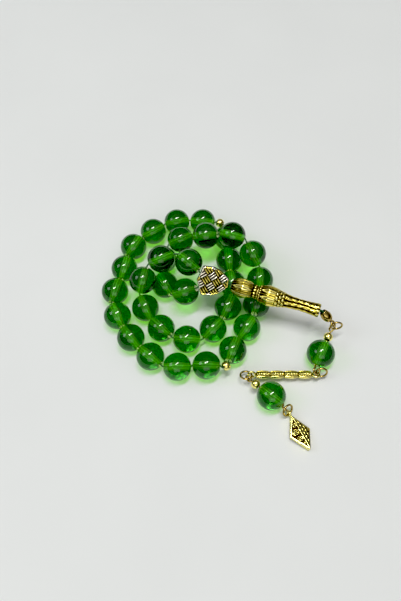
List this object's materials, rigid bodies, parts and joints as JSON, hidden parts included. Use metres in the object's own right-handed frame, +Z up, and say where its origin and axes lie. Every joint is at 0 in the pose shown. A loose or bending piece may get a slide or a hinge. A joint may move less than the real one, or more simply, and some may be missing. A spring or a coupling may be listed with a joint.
{
  "type": "prayer beads",
  "caption": "Misbaha of drilled green glass beads on one thread, with gilt dividers, an imame, and a linked tail of bead, bar and rhombus pendant.",
  "frame": {"origin": "the middle of the bounding box, on the surface that the beads lie on", "axes": "+Z up from the surface; +Y from the pendant towards the far side of the coil; +X from the coil towards the tail, on the right"},
  "size_m": [0.0878, 0.095, 0.021],
  "materials": {
    "emerald_glass": "clear polished glass",
    "bright_gilt": "bright gilt with relief",
    "pale_gilt": "pale gilt with a woven relief",
    "olive_gilt": "polished dark gilt wire",
    "green_silk": "twisted cord"
  },
  "bodies": {
    "thread_and_plate": {"meeting_plate": "pale_gilt", "thread": "green_silk", "knot": "green_silk"},
    "clamshell": {"clamshell": "olive_gilt"},
    "jump_ring_1": {"jump_ring_1": "olive_gilt"},
    "eye_pin_1": {"eye_pin_1": "olive_gilt"},
    "jump_ring_2": {"jump_ring_2": "olive_gilt"},
    "bar_link": {"bar_link": "bright_gilt"},
    "jump_ring_3": {"jump_ring_3": "olive_gilt"},
    "eye_pin_2": {"eye_pin_2": "olive_gilt"},
    "jump_ring_4": {"jump_ring_4": "olive_gilt"},
    "pendant": {"pendant": "bright_gilt"},
    "gold_ball_1": {"gold_ball_1": "bright_gilt"},
    "tail_bead_1": {"tail_bead_1": "emerald_glass"},
    "gold_ball_2": {"gold_ball_2": "bright_gilt"},
    "tail_bead_2": {"tail_bead_2": "emerald_glass"},
    "imame": {"imame": "bright_gilt"},
    "divider_1": {"divider_1": "bright_gilt"},
    "divider_2": {"divider_2": "bright_gilt"},
    "bead_01": {"bead_01": "emerald_glass"},
    "bead_02": {"bead_02": "emerald_glass"},
    "bead_03": {"bead_03": "emerald_glass"},
    "bead_04": {"bead_04": "emerald_glass"},
    "bead_05": {"bead_05": "emerald_glass"},
    "bead_06": {"bead_06": "emerald_glass"},
    "bead_07": {"bead_07": "emerald_glass"},
    "bead_08": {"bead_08": "emerald_glass"},
    "bead_09": {"bead_09": "emerald_glass"},
    "bead_10": {"bead_10": "emerald_glass"},
    "bead_11": {"bead_11": "emerald_glass"},
    "bead_12": {"bead_12": "emerald_glass"},
    "bead_13": {"bead_13": "emerald_glass"},
    "bead_14": {"bead_14": "emerald_glass"},
    "bead_15": {"bead_15": "emerald_glass"},
    "bead_16": {"bead_16": "emerald_glass"},
    "bead_17": {"bead_17": "emerald_glass"},
    "bead_18": {"bead_18": "emerald_glass"},
    "bead_19": {"bead_19": "emerald_glass"},
    "bead_20": {"bead_20": "emerald_glass"},
    "bead_21": {"bead_21": "emerald_glass"},
    "bead_22": {"bead_22": "emerald_glass"},
    "bead_23": {"bead_23": "emerald_glass"},
    "bead_24": {"bead_24": "emerald_glass"},
    "bead_25": {"bead_25": "emerald_glass"},
    "bead_26": {"bead_26": "emerald_glass"},
    "bead_27": {"bead_27": "emerald_glass"},
    "bead_28": {"bead_28": "emerald_glass"},
    "bead_29": {"bead_29": "emerald_glass"},
    "bead_30": {"bead_30": "emerald_glass"},
    "bead_31": {"bead_31": "emerald_glass"},
    "bead_32": {"bead_32": "emerald_glass"},
    "bead_33": {"bead_33": "emerald_glass"}
  },
  "joints": [
    {"name": "clamshell_swing", "type": "hinge", "parent": "thread_and_plate", "child": "clamshell", "pos_m": [0.03764, -0.00236, 0.0113], "axis": [0, 0, 1], "range_deg": [-1, 12]},
    {"name": "jump_ring_1_swing", "type": "hinge", "parent": "clamshell", "child": "jump_ring_1", "pos_m": [0.04014, -0.00426, 0.0093], "axis": [0, 0, 1], "range_deg": [-1, 25]},
    {"name": "eye_pin_1_swing", "type": "hinge", "parent": "jump_ring_1", "child": "eye_pin_1", "pos_m": [0.04034, -0.00476, 0.0064], "axis": [0, 0, 1], "range_deg": [-1, 20]},
    {"name": "jump_ring_2_swing", "type": "hinge", "parent": "eye_pin_1", "child": "jump_ring_2", "pos_m": [0.03374, -0.02026, 0.0045], "axis": [0, 0, 1], "range_deg": [-1, 12]},
    {"name": "bar_link_swing", "type": "hinge", "parent": "jump_ring_2", "child": "bar_link", "pos_m": [0.03374, -0.02106, 0.0027], "axis": [0, 0, 1], "range_deg": [-1, 20]},
    {"name": "jump_ring_3_swing", "type": "hinge", "parent": "bar_link", "child": "jump_ring_3", "pos_m": [0.01094, -0.02136, 0.0034], "axis": [0, 0, 1], "range_deg": [-15, 8]},
    {"name": "eye_pin_2_swing", "type": "hinge", "parent": "jump_ring_3", "child": "eye_pin_2", "pos_m": [0.00974, -0.02326, 0.0044], "axis": [0, 0, 1], "range_deg": [-25, 7]},
    {"name": "jump_ring_4_swing", "type": "hinge", "parent": "eye_pin_2", "child": "jump_ring_4", "pos_m": [0.02154, -0.03416, 0.0049], "axis": [0, 0, 1], "range_deg": [-30, 25]},
    {"name": "pendant_swing", "type": "hinge", "parent": "jump_ring_4", "child": "pendant", "pos_m": [0.02344, -0.03496, 0.0016], "axis": [0, 0, 1], "range_deg": [-25, 30]},
    {"name": "gold_ball_1_spin", "type": "hinge", "parent": "eye_pin_1", "child": "gold_ball_1", "pos_m": [0.03868, -0.00804, 0.00594], "axis": [0.4476, 0.8856, 0.1238], "continuous": true},
    {"name": "tail_bead_1_spin", "type": "hinge", "parent": "eye_pin_1", "child": "tail_bead_1", "pos_m": [0.03564, -0.01406, 0.0051], "axis": [0.4476, 0.8856, 0.1238], "continuous": true},
    {"name": "gold_ball_2_spin", "type": "hinge", "parent": "eye_pin_2", "child": "gold_ball_2", "pos_m": [0.01208, -0.02526, 0.00462], "axis": [-0.7588, 0.6475, -0.0708], "continuous": true},
    {"name": "tail_bead_2_spin", "type": "hinge", "parent": "eye_pin_2", "child": "tail_bead_2", "pos_m": [0.01724, -0.02966, 0.0051], "axis": [-0.7588, 0.6475, -0.0708], "continuous": true},
    {"name": "imame_spin", "type": "hinge", "parent": "thread_and_plate", "child": "imame", "pos_m": [0.03494, -0.00096, 0.0129], "axis": [-0.9523, 0.303, 0.0371], "continuous": true},
    {"name": "bead_01_spin", "type": "hinge", "parent": "thread_and_plate", "child": "bead_01", "pos_m": [-0.01131, 0.01715, 0.01599], "axis": [-0.7361, 0.6767, -0.0132], "continuous": true},
    {"name": "bead_02_spin", "type": "hinge", "parent": "thread_and_plate", "child": "bead_02", "pos_m": [-0.02144, 0.01892, 0.0154], "axis": [-0.9229, -0.3699, -0.1066], "continuous": true},
    {"name": "bead_03_spin", "type": "hinge", "parent": "thread_and_plate", "child": "bead_03", "pos_m": [-0.02817, 0.01228, 0.01131], "axis": [-0.2787, -0.7049, -0.6523], "continuous": true},
    {"name": "bead_04_spin", "type": "hinge", "parent": "thread_and_plate", "child": "bead_04", "pos_m": [-0.02741, 0.00418, 0.005], "axis": [0.4179, -0.8352, -0.3575], "continuous": true},
    {"name": "bead_05_spin", "type": "hinge", "parent": "thread_and_plate", "child": "bead_05", "pos_m": [-0.02134, -0.00415, 0.005], "axis": [0.6962, -0.6889, 0.202], "continuous": true},
    {"name": "bead_06_spin", "type": "hinge", "parent": "thread_and_plate", "child": "bead_06", "pos_m": [-0.01199, -0.00845, 0.005], "axis": [0.9907, -0.0309, -0.1325], "continuous": true},
    {"name": "bead_07_spin", "type": "hinge", "parent": "thread_and_plate", "child": "bead_07", "pos_m": [-0.00251, -0.00442, 0.005], "axis": [0.6951, 0.7089, 0.1194], "continuous": true},
    {"name": "bead_08_spin", "type": "hinge", "parent": "thread_and_plate", "child": "bead_08", "pos_m": [0.00302, 0.00425, 0.0055], "axis": [0.3922, 0.9185, -0.0499], "continuous": true},
    {"name": "bead_09_spin", "type": "hinge", "parent": "thread_and_plate", "child": "bead_09", "pos_m": [0.00495, 0.01436, 0.005], "axis": [-0.0794, 0.9968, -0.0046], "continuous": true},
    {"name": "bead_10_spin", "type": "hinge", "parent": "thread_and_plate", "child": "bead_10", "pos_m": [0.00394, 0.02461, 0.005], "axis": [-0.0363, 0.9984, -0.0433], "continuous": true},
    {"name": "bead_11_spin", "type": "hinge", "parent": "thread_and_plate", "child": "bead_11", "pos_m": [0.00338, 0.03489, 0.00502], "axis": [-0.1599, 0.9815, 0.1049], "continuous": true},
    {"name": "divider_1_spin", "type": "hinge", "parent": "thread_and_plate", "child": "divider_1", "pos_m": [0.00064, 0.04127, 0.00599], "axis": [-0.8917, 0.4522, 0.0166], "continuous": true},
    {"name": "bead_12_spin", "type": "hinge", "parent": "thread_and_plate", "child": "bead_12", "pos_m": [-0.00617, 0.04255, 0.005], "axis": [-0.9792, 0.1606, -0.1243], "continuous": true},
    {"name": "bead_13_spin", "type": "hinge", "parent": "thread_and_plate", "child": "bead_13", "pos_m": [-0.01647, 0.04244, 0.005], "axis": [-0.9626, -0.2597, 0.077], "continuous": true},
    {"name": "bead_14_spin", "type": "hinge", "parent": "thread_and_plate", "child": "bead_14", "pos_m": [-0.02573, 0.03793, 0.005], "axis": [-0.8513, -0.5228, -0.0443], "continuous": true},
    {"name": "bead_15_spin", "type": "hinge", "parent": "thread_and_plate", "child": "bead_15", "pos_m": [-0.03319, 0.03083, 0.005], "axis": [-0.4634, -0.8858, 0.0251], "continuous": true},
    {"name": "bead_16_spin", "type": "hinge", "parent": "thread_and_plate", "child": "bead_16", "pos_m": [-0.03609, 0.02094, 0.005], "axis": [-0.228, -0.9736, -0.0111], "continuous": true},
    {"name": "bead_17_spin", "type": "hinge", "parent": "thread_and_plate", "child": "bead_17", "pos_m": [-0.03906, 0.01108, 0.005], "axis": [-0.2232, -0.9748, -0.0001], "continuous": true},
    {"name": "bead_18_spin", "type": "hinge", "parent": "thread_and_plate", "child": "bead_18", "pos_m": [-0.03751, 0.0009, 0.005], "axis": [0.4325, -0.9016, 0.0111], "continuous": true},
    {"name": "bead_19_spin", "type": "hinge", "parent": "thread_and_plate", "child": "bead_19", "pos_m": [-0.03212, -0.00788, 0.005], "axis": [0.6292, -0.7768, -0.0254], "continuous": true},
    {"name": "bead_20_spin", "type": "hinge", "parent": "thread_and_plate", "child": "bead_20", "pos_m": [-0.0248, -0.01513, 0.005], "axis": [0.7634, -0.6444, 0.044], "continuous": true},
    {"name": "bead_21_spin", "type": "hinge", "parent": "thread_and_plate", "child": "bead_21", "pos_m": [-0.01526, -0.01901, 0.005], "axis": [0.9967, 0.0278, -0.076], "continuous": true},
    {"name": "bead_22_spin", "type": "hinge", "parent": "thread_and_plate", "child": "bead_22", "pos_m": [-0.00498, -0.01846, 0.00501], "axis": [0.9882, -0.0866, 0.1266], "continuous": true},
    {"name": "divider_2_spin", "type": "hinge", "parent": "thread_and_plate", "child": "divider_2", "pos_m": [0.0019, -0.01909, 0.00616], "axis": [0.8603, 0.5, 0.0995], "continuous": true},
    {"name": "bead_23_spin", "type": "hinge", "parent": "thread_and_plate", "child": "bead_23", "pos_m": [0.00439, -0.01265, 0.005], "axis": [0.3281, 0.9243, -0.1949], "continuous": true},
    {"name": "bead_24_spin", "type": "hinge", "parent": "thread_and_plate", "child": "bead_24", "pos_m": [0.00975, -0.00385, 0.005], "axis": [0.571, 0.7999, 0.1844], "continuous": true},
    {"name": "bead_25_spin", "type": "hinge", "parent": "thread_and_plate", "child": "bead_25", "pos_m": [0.01364, 0.00568, 0.005], "axis": [0.2353, 0.9458, -0.2239], "continuous": true},
    {"name": "bead_26_spin", "type": "hinge", "parent": "thread_and_plate", "child": "bead_26", "pos_m": [0.0154, 0.01582, 0.00532], "axis": [0.0077, 0.9116, 0.411], "continuous": true},
    {"name": "bead_27_spin", "type": "hinge", "parent": "thread_and_plate", "child": "bead_27", "pos_m": [0.01251, 0.02363, 0.01138], "axis": [-0.4792, 0.6444, 0.596], "continuous": true},
    {"name": "bead_28_spin", "type": "hinge", "parent": "thread_and_plate", "child": "bead_28", "pos_m": [0.00487, 0.02978, 0.01453], "axis": [-0.9494, 0.3137, -0.0163], "continuous": true},
    {"name": "bead_29_spin", "type": "hinge", "parent": "thread_and_plate", "child": "bead_29", "pos_m": [-0.00506, 0.0312, 0.0122], "axis": [-0.9026, 0.1669, -0.3969], "continuous": true},
    {"name": "bead_30_spin", "type": "hinge", "parent": "thread_and_plate", "child": "bead_30", "pos_m": [-0.01476, 0.0317, 0.00876], "axis": [-0.9219, -0.3111, -0.231], "continuous": true},
    {"name": "bead_31_spin", "type": "hinge", "parent": "thread_and_plate", "child": "bead_31", "pos_m": [-0.0211, 0.02392, 0.00647], "axis": [-0.262, -0.9349, -0.2396], "continuous": true},
    {"name": "bead_32_spin", "type": "hinge", "parent": "thread_and_plate", "child": "bead_32", "pos_m": [-0.02038, 0.01374, 0.00507], "axis": [0.4713, -0.8749, 0.1113], "continuous": true},
    {"name": "bead_33_spin", "type": "hinge", "parent": "thread_and_plate", "child": "bead_33", "pos_m": [-0.01263, 0.00857, 0.00946], "axis": [0.8221, -0.028, 0.5687], "continuous": true}
  ]
}
